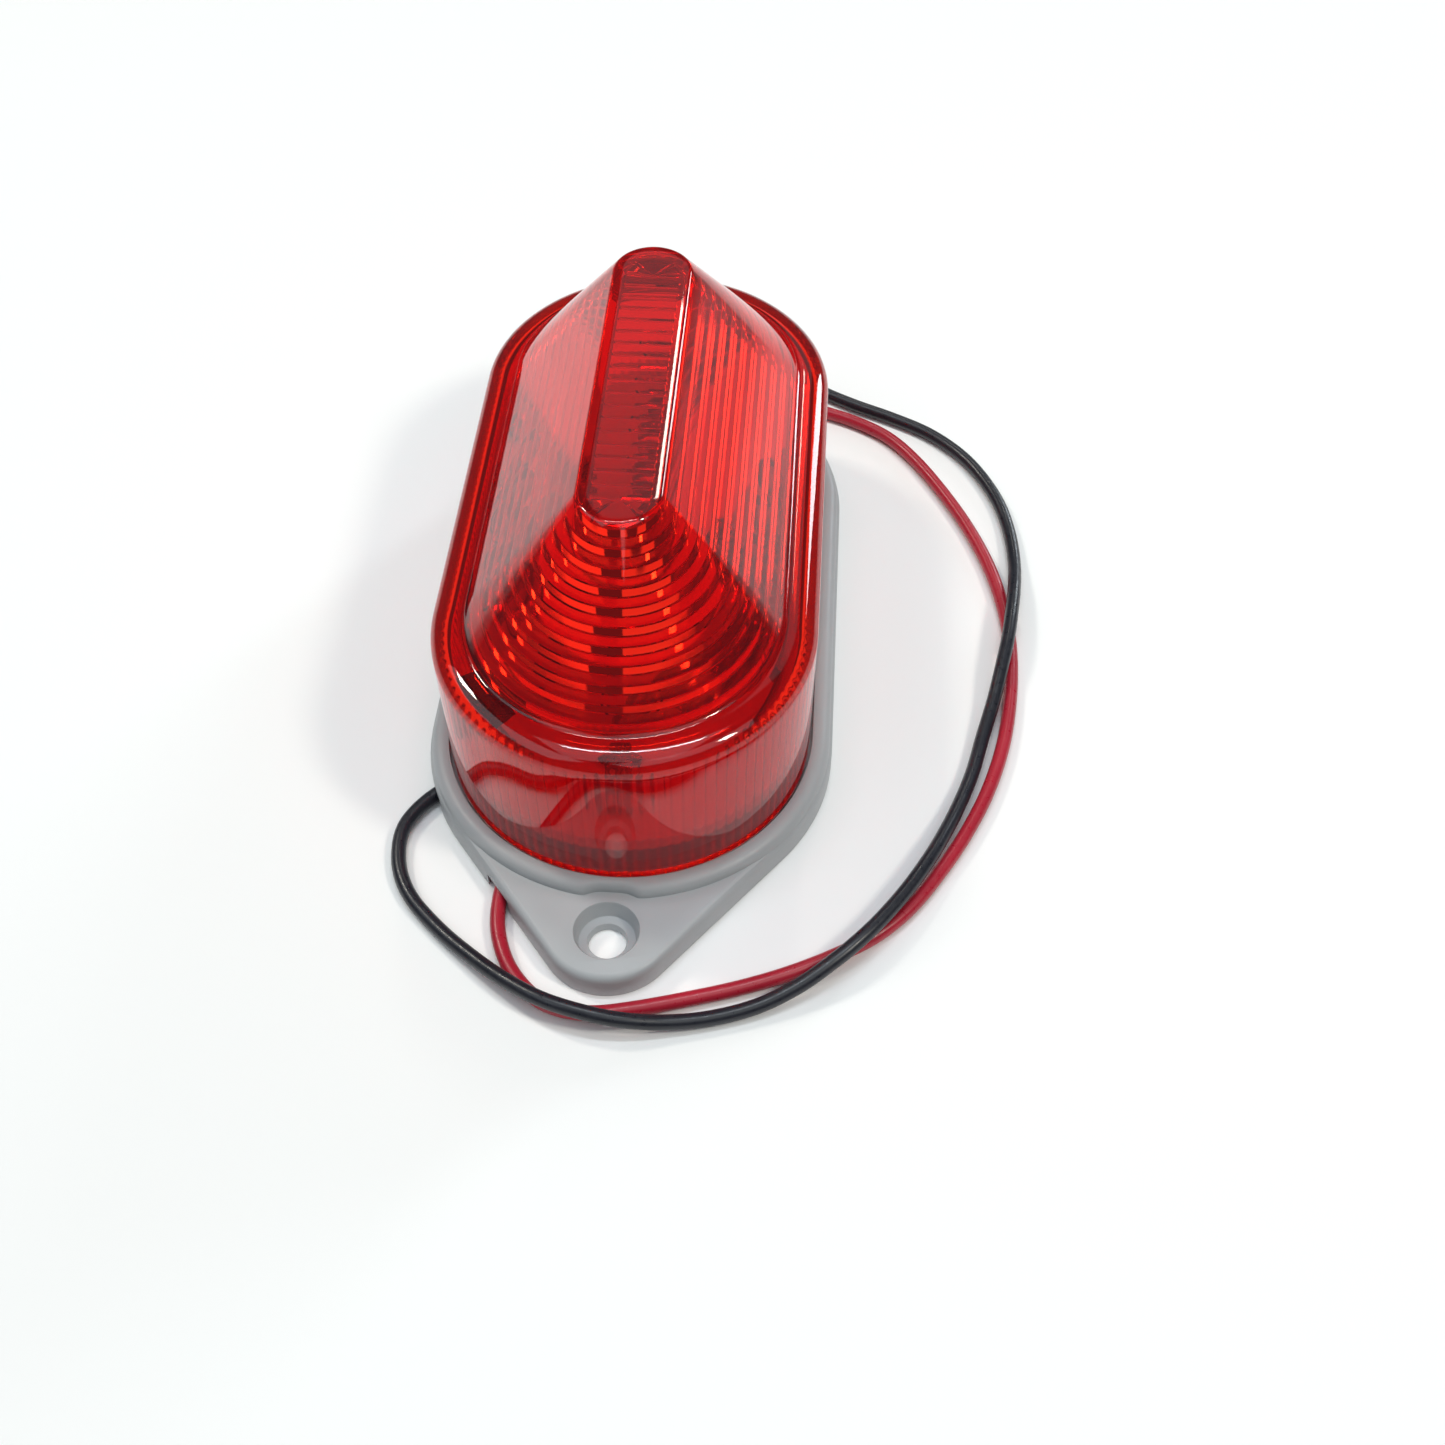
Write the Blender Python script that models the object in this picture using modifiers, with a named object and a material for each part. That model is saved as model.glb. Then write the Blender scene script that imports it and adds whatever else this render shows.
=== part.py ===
"""A small alarm beacon: an eared base, a push-fit lens, a circuit board and two loose leads.

Blender 4.5, metres, +Z up. The origin is on the surface that the base stands on, under the middle
of the body. +Y runs along the body from ear to ear, and the leads loop round the -Y ear and +X side.
"""

from math import asin, cos, pi, sin

import bmesh
import bpy
from mathutils import Vector

MM = 0.001
GAP = 0.3 * MM
ARC_STEPS = 16
TURN_STEPS = 20
MERGE = 0.00001

# Body plan: every outline is a stadium, two half circles joined by straight sides.
STRAIGHT = 18.9 * MM

# Base
BASE_WIDTH = 22.4 * MM
EAR_OFFSET = 43.4 * MM
EAR_RADIUS = 7.2 * MM
EAR_TOP = 3.1 * MM
RECESS_WIDTH = 20.3 * MM
RECESS_TOP = 1.95 * MM
FLOOR_TOP = 2.7 * MM
RIM_CREST = 21.3 * MM
RIM_FOOT = 22.1 * MM
RIM_TOP = 4.3 * MM
POCKET_WIDTH = 20.15 * MM
SCREW_HOLE_OFFSET = 44.8 * MM
SCREW_HOLE_RADIUS = 2.0 * MM
SCREW_SEAT_RADIUS = 3.2 * MM
SCREW_SEAT_TOP = 1.1 * MM
EAR_RELIEF_RADIUS = 4.5 * MM

# Lens, as half width, height and half of the straight run, from the ridge down and back up inside
RIDGE_STRAIGHT = 17.6 * MM
LENS_TOP = 38.4 * MM
LENS_FOOT = 3.8 * MM
LENS_WALL = 1.6 * MM
SHOULDER_TOP = 22.9 * MM
LENS_PROFILE = [
    (4.15 * MM, LENS_TOP, RIDGE_STRAIGHT),
    (16.5 * MM, SHOULDER_TOP, STRAIGHT),
    (18.7 * MM, SHOULDER_TOP, STRAIGHT),
    (19.6 * MM, 22.3 * MM, STRAIGHT),
    (20.0 * MM, 21.2 * MM, STRAIGHT),
    (19.8 * MM, LENS_FOOT, STRAIGHT),
    (18.2 * MM, LENS_FOOT, STRAIGHT),
    (18.4 * MM, 20.4 * MM, STRAIGHT),
    (17.7 * MM, SHOULDER_TOP - LENS_WALL, STRAIGHT),
    (15.7 * MM, SHOULDER_TOP - LENS_WALL, STRAIGHT),
    (3.4 * MM, LENS_TOP - LENS_WALL, RIDGE_STRAIGHT),
]

# Gasket
GASKET_INNER = 18.0 * MM
GASKET_OUTER = 19.8 * MM
GASKET_TOP = LENS_FOOT - GAP

# Circuit board and what it stands on
BOARD_WIDTH = 16.6 * MM
BOARD_BOTTOM = 6.0 * MM
BOARD_TOP = 7.6 * MM
PART_FLOOR = BOARD_TOP + GAP
BOARD_HOLE_RADIUS = 1.5 * MM
SCREW_POST_OFFSET = 29.0 * MM
SCREW_POST_RADIUS = 2.8 * MM
PILOT_RADIUS = 1.1 * MM
PILOT_BOTTOM = 3.0 * MM
SIDE_POST_OFFSET = 12.0 * MM
SIDE_POST_RADIUS = 1.6 * MM

# Lead outlet in the floor
OUTLET = (-6.0 * MM, -15.0 * MM)
OUTLET_RADIUS = 2.6 * MM

# Parts on the board
LED_COUNT = 6
LED_PITCH = 7.0 * MM
RESISTOR_COUNT = 3
RESISTOR_PITCH = 3.4 * MM

# Leads, as points of each route in millimetres: out of the grommet, through the channel in the
# base's wall, round the near ear and up the side, and behind the far ear. The black lead climbs
# over the red one where they cross.
LEAD_RADIUS = 0.8 * MM
LEAD_POINT_SPACING = 5.3 * MM
TIP_RADIUS = 0.5 * MM
TIP_LENGTH = 5.0 * MM
LIE = 0.85
BLACK_ROUTE = [
    (-8.9, -17.2, LIE), (-13.0, -20.6, LIE), (-17.5, -24.5, LIE), (-21.4, -28.0, LIE),
    (-23.5, -32.0, LIE), (-23.2, -36.6, LIE), (-21.2, -40.7, LIE), (-17.4, -44.6, 0.9),
    (-13.4, -47.9, 1.4), (-9.8, -50.6, 2.2), (-5.8, -52.9, 2.85), (-1.6, -54.1, 2.85),
    (2.4, -54.4, 2.2), (6.6, -53.9, 1.3), (11.2, -52.9, 0.9), (15.8, -51.3, 1.05),
    (19.8, -49.1, 1.7), (23.2, -46.5, 2.5), (25.9, -43.9, 2.9), (28.4, -40.8, 2.85),
    (31.0, -36.9, 2.7), (33.6, -32.1, 2.3), (36.0, -26.4, 1.4), (38.0, -20.7, 0.95),
    (39.4, -15.2, 1.05), (40.7, -10.4, 1.7), (41.7, -5.9, 2.5), (42.5, -2.0, 2.85),
    (43.1, 2.0, 2.85), (43.7, 6.8, 2.3), (44.1, 12.2, 1.2), (43.8, 17.6, LIE),
    (42.7, 22.8, LIE), (40.6, 27.8, LIE), (37.8, 32.0, LIE), (33.8, 35.7, LIE),
    (29.0, 38.4, LIE), (24.0, 40.7, LIE), (19.2, 43.4, LIE), (14.8, 47.0, LIE),
    (10.4, 50.8, LIE), (5.4, 54.0, LIE),
]
RED_ROUTE = [
    (-6.7, -18.6, LIE), (-8.2, -24.5, LIE), (-10.4, -31.5, LIE), (-11.7, -38.0, LIE),
    (-11.6, -43.4, LIE), (-9.9, -48.0, LIE), (-7.1, -51.3, LIE), (-4.2, -52.8, LIE),
    (-0.6, -53.1, LIE), (3.6, -52.3, LIE), (9.0, -50.8, LIE), (14.0, -49.2, LIE),
    (18.9, -47.2, LIE), (23.5, -44.8, LIE), (27.6, -42.1, LIE), (31.2, -38.4, LIE),
    (34.6, -33.3, LIE), (37.5, -28.0, LIE), (39.9, -22.3, LIE), (41.7, -16.0, LIE),
    (42.7, -9.6, LIE), (43.1, -3.5, LIE), (42.9, 1.6, LIE), (42.1, 7.2, LIE),
    (40.6, 13.0, LIE), (38.3, 19.0, LIE), (35.3, 25.0, LIE), (32.0, 30.4, LIE),
    (28.4, 34.6, LIE), (23.8, 37.5, LIE), (18.8, 39.6, LIE), (14.4, 42.6, LIE),
    (10.6, 46.6, LIE), (6.6, 50.4, LIE),
]

# Material colours as linear red, green and blue, then roughness and metallic
MATERIALS = {
    "base_plastic": ((0.40, 0.41, 0.43), 0.45, 0.0),
    "lens_red": ((0.55, 0.01, 0.02), 0.08, 0.0),
    "gasket_rubber": ((0.5, 0.5, 0.48), 0.6, 0.0),
    "board_white": ((0.75, 0.75, 0.72), 0.4, 0.0),
    "screw_steel": ((0.6, 0.6, 0.62), 0.3, 1.0),
    "led_red": ((0.7, 0.03, 0.03), 0.15, 0.0),
    "component_black": ((0.03, 0.03, 0.035), 0.45, 0.0),
    "sounder_grey": ((0.5, 0.5, 0.52), 0.45, 0.0),
    "capacitor_can": ((0.7, 0.7, 0.72), 0.3, 0.8),
    "brass": ((0.75, 0.55, 0.25), 0.3, 1.0),
    "resistor_tan": ((0.62, 0.47, 0.3), 0.5, 0.0),
    "lead_black": ((0.015, 0.015, 0.02), 0.4, 0.0),
    "lead_red": ((0.42, 0.015, 0.03), 0.4, 0.0),
    "tinned_copper": ((0.7, 0.7, 0.68), 0.35, 1.0),
}


def clear_scene():
    for obj in list(bpy.data.objects):
        bpy.data.objects.remove(obj, do_unlink=True)


def new_collection(name):
    collection = bpy.data.collections.new(name)
    bpy.context.scene.collection.children.link(collection)
    return collection


def material(slot):
    """The Principled material of a slot, made on first use."""
    if slot in bpy.data.materials:
        return bpy.data.materials[slot]
    colour, roughness, metallic = MATERIALS[slot]
    made = bpy.data.materials.new(slot)
    made.use_nodes = True
    shader = made.node_tree.nodes["Principled BSDF"]
    shader.inputs["Base Color"].default_value = (*colour, 1.0)
    shader.inputs["Roughness"].default_value = roughness
    shader.inputs["Metallic"].default_value = metallic
    return made


def add_object(name, data, slot=None):
    """Link a part with its material or, with no slot, a cutter or guide."""
    obj = bpy.data.objects.new(name, data)
    if slot:
        PARTS.objects.link(obj)
        data.materials.append(material(slot))
    else:
        CUTTERS.objects.link(obj)
        obj.hide_render = True
        obj.display_type = "WIRE"
    return obj


def arc(centre_y, radius, start, end, steps):
    angles = [start + (end - start) * i / steps for i in range(steps + 1)]
    return [(radius * cos(a), centre_y + radius * sin(a)) for a in angles]


def with_opposite(half):
    """A whole outline from its +Y half."""
    return half + [(-x, -y) for x, y in half]


def stadium(width, straight=STRAIGHT):
    return with_opposite(arc(straight, width, 0.0, pi, ARC_STEPS))


def ear_outline():
    """The +Y ear: a round tip, tangent lines to the body, and a root inside the body's wall."""
    tangent = asin((BASE_WIDTH - EAR_RADIUS) / (EAR_OFFSET - STRAIGHT))
    root = tangent - 0.15
    root_radius = (BASE_WIDTH + RECESS_WIDTH) / 2
    tip = arc(EAR_OFFSET, EAR_RADIUS, tangent, pi - tangent, ARC_STEPS)
    left_root = arc(STRAIGHT, BASE_WIDTH, pi - tangent, pi - tangent, 1)[:1]
    inner = arc(STRAIGHT, root_radius, pi - root, root, ARC_STEPS)
    right_root = arc(STRAIGHT, BASE_WIDTH, tangent, tangent, 1)[:1]
    return tip + left_root + inner + right_root


def prism(name, outline, bottom, top, slot=None):
    """A flat outline raised from one height to another, as a welded mesh."""
    curve = bpy.data.curves.new(name, "CURVE")
    curve.dimensions = "2D"
    curve.fill_mode = "BOTH"
    curve.extrude = (top - bottom) / 2
    spline = curve.splines.new("POLY")
    spline.points.add(len(outline) - 1)
    for point, (x, y) in zip(spline.points, outline):
        point.co = (x, y, 0.0, 1.0)
    spline.use_cyclic_u = True
    guide = add_object(name + "_outline", curve)
    guide.location.z = (top + bottom) / 2
    bpy.context.view_layer.update()
    depsgraph = bpy.context.evaluated_depsgraph_get()
    mesh = bpy.data.meshes.new_from_object(guide.evaluated_get(depsgraph))
    place = guide.matrix_world.copy()
    bpy.data.objects.remove(guide)
    weld(mesh)
    mesh.name = name
    made = add_object(name, mesh, slot)
    made.matrix_world = place
    return made


def weld(mesh):
    bm = bmesh.new()
    bm.from_mesh(mesh)
    bmesh.ops.remove_doubles(bm, verts=bm.verts, dist=MERGE)
    bmesh.ops.recalc_face_normals(bm, faces=bm.faces)
    bm.to_mesh(mesh)
    bm.free()


def loft(name, sections, slot=None, closed=False):
    """A solid through stadium sections of width, height and straight run.

    Closed, the last section meets the first and the solid is a ring. Otherwise both ends are capped.
    """
    bm = bmesh.new()
    rings = []
    for width, height, straight in sections:
        rings.append([bm.verts.new((x, y, height)) for x, y in stadium(width, straight)])
    pairs = list(zip(rings, rings[1:]))
    if closed:
        pairs.append((rings[-1], rings[0]))
    else:
        bm.faces.new(rings[0])
        bm.faces.new(rings[-1])
    for upper, lower in pairs:
        for i in range(len(upper)):
            bm.faces.new((upper[i - 1], lower[i - 1], lower[i], upper[i]))
    bmesh.ops.recalc_face_normals(bm, faces=bm.faces)
    mesh = bpy.data.meshes.new(name)
    bm.to_mesh(mesh)
    bm.free()
    made = add_object(name, mesh, slot)
    mesh.shade_smooth()
    mesh.set_sharp_from_angle(angle=0.6)
    return made


def turned(name, profile, place, slot=None, steps=TURN_STEPS):
    """A profile of radius and height, outside and top to bottom, turned about the object's Z."""
    mesh = bpy.data.meshes.new(name)
    edges = [(i, i + 1) for i in range(len(profile) - 1)]
    mesh.from_pydata([(radius, 0.0, height) for radius, height in profile], edges, [])
    made = add_object(name, mesh, slot)
    made.location = place
    screw = made.modifiers.new("turn", "SCREW")
    screw.steps = steps
    screw.render_steps = steps
    screw.use_merge_vertices = True
    screw.merge_threshold = MERGE
    screw.use_smooth_shade = False
    return made


def cylinder(name, radius, bottom, top, xy, slot=None):
    profile = [(0.0, top), (radius, top), (radius, bottom), (0.0, bottom)]
    return turned(name, profile, (*xy, 0.0), slot)


def box(name, size, centre, slot=None):
    mesh = bpy.data.meshes.new(name)
    bm = bmesh.new()
    bmesh.ops.create_cube(bm, size=1.0)
    bmesh.ops.scale(bm, vec=size, verts=bm.verts)
    bm.to_mesh(mesh)
    bm.free()
    made = add_object(name, mesh, slot)
    made.location = centre
    return made


def boolean(target, operation, tool):
    modifier = target.modifiers.new(tool.name, "BOOLEAN")
    modifier.operation = operation
    modifier.solver = "EXACT"
    modifier.object = tool


def both_ends(offset):
    return ((1, "far", (0.0, offset)), (-1, "near", (0.0, -offset)))


def smooth_route(points, spacing):
    """Evenly spaced points, in metres, along a smooth curve through a route in millimetres."""
    nodes = [Vector(p) * MM for p in points]
    nodes = [2 * nodes[0] - nodes[1]] + nodes + [2 * nodes[-1] - nodes[-2]]
    fine = []
    for a, b, c, d in zip(nodes, nodes[1:], nodes[2:], nodes[3:]):
        for step in range(16):
            t = step / 16
            square = (2 * a - 5 * b + 4 * c - d) * t ** 2
            cube = (3 * b - 3 * c + d - a) * t ** 3
            fine.append((2 * b + (c - a) * t + square + cube) / 2)
    fine.append(nodes[-2])
    lengths = [0.0]
    for start, end in zip(fine, fine[1:]):
        lengths.append(lengths[-1] + (end - start).length)
    count = round(lengths[-1] / spacing)
    route = []
    for i in range(count + 1):
        target = lengths[-1] * i / count
        j = max(1, next(k for k, so_far in enumerate(lengths) if so_far >= target - MERGE))
        share = (target - lengths[j - 1]) / (lengths[j] - lengths[j - 1])
        route.append(fine[j - 1].lerp(fine[j], share))
    return route


def tube(name, route, radius, slot):
    curve = bpy.data.curves.new(name, "CURVE")
    curve.dimensions = "3D"
    curve.bevel_depth = radius
    curve.bevel_resolution = 2
    curve.use_fill_caps = True
    spline = curve.splines.new("POLY")
    spline.points.add(len(route) - 1)
    for point, place in zip(spline.points, route):
        point.co = (*place, 1.0)
    return add_object(name, curve, slot)


def make_base():
    """The body with its raised rim, hollow underneath, then the ears and everything in the floor."""
    sections = [
        (POCKET_WIDTH, FLOOR_TOP, STRAIGHT), (POCKET_WIDTH, RIM_TOP, STRAIGHT),
        (RIM_CREST, RIM_TOP, STRAIGHT), (RIM_FOOT, RIM_TOP - 0.9 * MM, STRAIGHT),
        (BASE_WIDTH, RIM_TOP - 1.4 * MM, STRAIGHT), (BASE_WIDTH, 0.0, STRAIGHT),
        (RECESS_WIDTH, 0.0, STRAIGHT), (RECESS_WIDTH, RECESS_TOP, STRAIGHT),
    ]
    base = loft("base_housing", sections, "base_plastic")
    above = 10.0 * MM
    below = -5.0 * MM
    seat = [
        (0.0, above), (SCREW_SEAT_RADIUS, above), (SCREW_SEAT_RADIUS, SCREW_SEAT_TOP),
        (SCREW_HOLE_RADIUS, SCREW_SEAT_TOP), (SCREW_HOLE_RADIUS, below), (0.0, below),
    ]
    for sign, end, xy in both_ends(SCREW_HOLE_OFFSET):
        relief = cylinder(end + "_relief_cutter", EAR_RELIEF_RADIUS, RECESS_TOP, above, xy)
        boolean(base, "DIFFERENCE", relief)
        outline = [(sign * x, sign * y) for x, y in ear_outline()]
        boolean(base, "UNION", prism(end + "_ear_guide", outline, 0.0, EAR_TOP))
        boolean(base, "DIFFERENCE", turned(end + "_seat_cutter", seat, (*xy, 0.0)))
    outlet = cylinder("outlet_cutter", OUTLET_RADIUS, below, above, OUTLET)
    boolean(base, "DIFFERENCE", outlet)
    post_foot = FLOOR_TOP - 0.4 * MM
    post_top = BOARD_BOTTOM - GAP
    post = [
        (0.0, PILOT_BOTTOM), (PILOT_RADIUS, PILOT_BOTTOM), (PILOT_RADIUS, post_top),
        (SCREW_POST_RADIUS, post_top), (SCREW_POST_RADIUS, post_foot), (0.0, post_foot),
    ]
    for _, end, xy in both_ends(SCREW_POST_OFFSET):
        boolean(base, "UNION", turned(end + "_post_guide", post, (*xy, 0.0)))
    for side, x in (("left", -SIDE_POST_OFFSET), ("right", SIDE_POST_OFFSET)):
        post = cylinder(side + "_post_guide", SIDE_POST_RADIUS, post_foot, post_top, (x, 0.0))
        boolean(base, "UNION", post)
    cut_lead_channel(base, "black", BLACK_ROUTE[2], BLACK_ROUTE[3])
    cut_lead_channel(base, "red", RED_ROUTE[2], RED_ROUTE[3])


def cut_lead_channel(base, colour, start, end):
    """A square channel under the base's wall, along one stretch of a lead's route."""
    start = Vector(start[:2]) * MM
    end = Vector(end[:2]) * MM
    along = end - start
    width = 3.2 * MM
    overrun = 4.0 * MM
    height = 2 * RECESS_TOP
    size = (along.length + 2 * overrun, width, height)
    channel = box(colour + "_channel_cutter", size, ((start + end) / 2).to_3d())
    channel.rotation_euler.z = Vector((1.0, 0.0)).angle_signed(along) * -1
    boolean(base, "DIFFERENCE", channel)


def make_lens():
    loft("lens_cover", LENS_PROFILE, "lens_red")


def make_gasket():
    bottom = FLOOR_TOP + GAP
    sections = [
        (GASKET_INNER, GASKET_TOP, STRAIGHT), (GASKET_OUTER, GASKET_TOP, STRAIGHT),
        (GASKET_OUTER, bottom, STRAIGHT), (GASKET_INNER, bottom, STRAIGHT),
    ]
    loft("lens_gasket", sections, "gasket_rubber", closed=True)


def make_board():
    board = prism("circuit_board", stadium(BOARD_WIDTH), BOARD_BOTTOM, BOARD_TOP, "board_white")
    for _, end, xy in both_ends(SCREW_POST_OFFSET):
        hole = cylinder(end + "_board_hole_cutter", BOARD_HOLE_RADIUS, 0.0, 2 * BOARD_TOP, xy)
        boolean(board, "DIFFERENCE", hole)


def make_board_screws():
    head_radius = 2.5 * MM
    head_side = PART_FLOOR + 0.6 * MM
    head_top = PART_FLOOR + 1.5 * MM
    shank = PILOT_RADIUS - GAP
    profile = [
        (0.0, head_top), (1.6 * MM, head_top - 0.2 * MM), (head_radius, head_side),
        (head_radius, PART_FLOOR), (shank, PART_FLOOR), (shank, PILOT_BOTTOM + GAP),
        (0.0, PILOT_BOTTOM + GAP),
    ]
    for _, end, xy in both_ends(SCREW_POST_OFFSET):
        turned(f"board_screw_{end}", profile, (*xy, 0.0), "screw_steel")


def make_leds():
    radius = 2.5 * MM
    flange_radius = 2.9 * MM
    flange = 1.0 * MM
    side = 6.0 * MM
    dome = [(radius * sin(a), side + radius * cos(a)) for a in (0.0, 0.5, 1.0, pi / 2)]
    profile = dome + [(radius, flange), (flange_radius, flange), (flange_radius, 0.0), (0.0, 0.0)]
    for i in range(LED_COUNT):
        y = (i - (LED_COUNT - 1) / 2) * LED_PITCH
        turned(f"led_{i + 1}", profile, (0.0, y, PART_FLOOR), "led_red", steps=16)


def make_sounder():
    """A case open to the board, with a sound hole in its top, and the disc that sounds in it."""
    place = (10.2 * MM, 8.0 * MM, PART_FLOOR)
    outer = 4.5 * MM
    inner = 3.8 * MM
    height = 5.5 * MM
    ceiling = height - 0.8 * MM
    hole = 1.0 * MM
    profile = [
        (hole, height), (outer, height), (outer, 0.0), (inner, 0.0), (inner, ceiling),
        (hole, ceiling), (hole, height),
    ]
    turned("sounder_case", profile, place, "sounder_grey", steps=24)
    disc_bottom = PART_FLOOR + 2.4 * MM
    disc_top = disc_bottom + 0.4 * MM
    cylinder("sounder_disc", inner - GAP, disc_bottom, disc_top, place[:2], "brass")


def make_capacitor():
    radius = 3.15 * MM
    top = 7.0 * MM
    groove = 1.4 * MM
    profile = [
        (0.0, top), (radius - 0.4 * MM, top), (radius, top - 0.4 * MM), (radius, groove + 0.5 * MM),
        (radius - 0.35 * MM, groove), (radius, groove - 0.5 * MM), (radius, 0.0), (0.0, 0.0),
    ]
    turned("capacitor", profile, (-9.6 * MM, 9.0 * MM, PART_FLOOR), "capacitor_can")


def make_driver_chip():
    size = (5.0 * MM, 4.0 * MM, 1.6 * MM)
    centre = (-9.6 * MM, -3.0 * MM, PART_FLOOR + size[2] / 2)
    chip = box("driver_chip", size, centre, "component_black")
    bevel = chip.modifiers.new("edges", "BEVEL")
    bevel.width = 0.2 * MM
    bevel.segments = 1


def make_axial(name, body, centre_xy, slot, steps=12):
    """A round part lying along Y, with a straight wire out of each end."""
    wire = 0.3 * MM
    reach = body[0][1] + 1.5 * MM
    upper = [(0.0, reach), (wire, reach), (wire, body[0][1])] + body
    lower = [(radius, -height) for radius, height in reversed(upper)]
    lift = max(radius for radius, _ in body)
    made = turned(name, upper + lower, (*centre_xy, PART_FLOOR + lift), slot, steps)
    made.rotation_euler.x = pi / 2


def make_axial_parts():
    resistor = [(1.1 * MM, 3.1 * MM), (1.1 * MM, 2.0 * MM), (0.9 * MM, 1.6 * MM)]
    for i in range(RESISTOR_COUNT):
        x = 7.0 * MM + i * RESISTOR_PITCH
        make_axial(f"resistor_{i + 1}", resistor, (x, -7.0 * MM), "resistor_tan")
    diode = [(1.35 * MM, 2.6 * MM)]
    make_axial("diode", diode, (-9.6 * MM, -14.0 * MM), "component_black")


def make_grommet():
    """Pressed into the outlet: a foot in the recess, a neck in the hole, a collar on the floor."""
    foot = OUTLET_RADIUS + 0.7 * MM
    neck = OUTLET_RADIUS - GAP
    boss = OUTLET_RADIUS - 2 * GAP
    collar_top = 3.6 * MM
    profile = [
        (0.0, 5.4 * MM), (boss, 5.4 * MM), (boss, collar_top), (foot, collar_top),
        (foot, FLOOR_TOP + GAP), (neck, FLOOR_TOP + GAP), (neck, RECESS_TOP - GAP),
        (foot, RECESS_TOP - GAP), (foot, 0.2 * MM), (0.0, 0.2 * MM),
    ]
    turned("lead_grommet", profile, (*OUTLET, 0.0), "gasket_rubber")


def make_inner_leads():
    """Short leads under the board, from the grommet's boss to the board's two pads."""
    height = 4.75
    black = [(-8.4, -14.4, height), (-10.6, -13.4, height), (-12.6, -11.0, height), (-13.2, -8.0, height)]
    red = [(-3.9, -16.4, height), (-1.8, -17.8, height), (0.8, -18.0, height), (4.0, -17.2, height)]
    spacing = 1.8 * MM
    tube("inner_lead_black", smooth_route(black, spacing), LEAD_RADIUS, "lead_black")
    tube("inner_lead_red", smooth_route(red, spacing), LEAD_RADIUS, "lead_red")


def make_leads():
    for colour, points in (("black", BLACK_ROUTE), ("red", RED_ROUTE)):
        route = smooth_route(points, LEAD_POINT_SPACING)
        tube(f"wire_{colour}", route, LEAD_RADIUS, f"lead_{colour}")
        onward = (route[-1] - route[-2]).normalized()
        start = route[-1] + onward * GAP
        tip = [start, start + onward * TIP_LENGTH]
        tube(f"tinned_tip_{colour}", tip, TIP_RADIUS, "tinned_copper")


clear_scene()
PARTS = new_collection("alarm_siren")
CUTTERS = new_collection("cutters")
make_base()
make_lens()
make_gasket()
make_board()
make_board_screws()
make_leds()
make_sounder()
make_capacitor()
make_driver_chip()
make_axial_parts()
make_grommet()
make_inner_leads()
make_leads()
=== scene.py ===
"""Looks for the alarm beacon: a ribbed clear red cover, a satin base, the board inside and two leads."""
from math import asin, cos, pi, radians, sin

import bmesh
import bpy
from mathutils import Matrix, Vector


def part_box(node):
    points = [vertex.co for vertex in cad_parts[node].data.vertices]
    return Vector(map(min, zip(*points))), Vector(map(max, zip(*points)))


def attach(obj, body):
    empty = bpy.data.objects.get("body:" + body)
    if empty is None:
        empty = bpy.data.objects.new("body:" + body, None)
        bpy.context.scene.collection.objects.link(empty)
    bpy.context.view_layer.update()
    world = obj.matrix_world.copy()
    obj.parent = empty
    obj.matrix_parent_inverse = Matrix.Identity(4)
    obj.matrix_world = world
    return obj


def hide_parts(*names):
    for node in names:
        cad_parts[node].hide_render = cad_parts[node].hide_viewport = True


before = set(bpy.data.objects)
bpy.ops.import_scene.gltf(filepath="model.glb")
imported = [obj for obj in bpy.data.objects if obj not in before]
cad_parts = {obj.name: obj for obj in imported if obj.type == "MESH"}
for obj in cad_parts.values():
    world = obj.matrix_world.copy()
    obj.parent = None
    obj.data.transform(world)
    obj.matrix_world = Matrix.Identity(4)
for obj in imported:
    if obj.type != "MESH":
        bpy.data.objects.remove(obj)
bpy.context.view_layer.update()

MM = 0.001
STRAIGHT = 18.9 * MM


# ---------------------------------------------------------------- camera, light and floor

def make_camera():
    """Looks down along the body from in front of the near ear."""
    azimuth, elevation, roll = 0.061, 0.8834, 0.0059
    target = Vector((10.5, -24.9, 16.0)) * MM
    distance = 174.3 * MM
    back = Vector((sin(azimuth) * cos(elevation), -cos(azimuth) * cos(elevation), sin(elevation)))
    level = Vector((cos(azimuth), sin(azimuth), 0.0))
    upright = back.cross(level)
    right = level * cos(roll) + upright * sin(roll)
    up = upright * cos(roll) - level * sin(roll)
    data = bpy.data.cameras.new("camera")
    data.lens = 42.1
    data.sensor_width = 36.0
    data.shift_y = -0.0123
    data.clip_start = 0.01
    camera = bpy.data.objects.new("camera", data)
    bpy.context.scene.collection.objects.link(camera)
    turn = Matrix((right, up, back)).transposed().to_4x4()
    camera.matrix_world = Matrix.Translation(target + back * distance) @ turn
    bpy.context.scene.camera = camera


def area_light(name, azimuth, elevation, distance, size, radiance, colour):
    """A rectangular light aimed at the object.

    Azimuth is in degrees from the front towards the right; elevation is in degrees above the floor.
    """
    turn, lift = radians(azimuth), radians(elevation)
    outward = Vector((sin(turn) * cos(lift), -cos(turn) * cos(lift), sin(lift)))
    data = bpy.data.lights.new(name, "AREA")
    data.shape = "RECTANGLE"
    data.size, data.size_y = size
    data.energy = radiance * pi * size[0] * size[1]
    data.color = colour
    light = bpy.data.objects.new(name, data)
    bpy.context.scene.collection.objects.link(light)
    light.location = LIT_POINT + outward * distance
    light.rotation_euler = outward.to_track_quat("Z", "Y").to_euler()


LIT_POINT = Vector((0.0, 0.0, 0.025))
COOL = (0.87, 0.95, 1.0)
WARM = (1.0, 0.94, 0.82)
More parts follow.
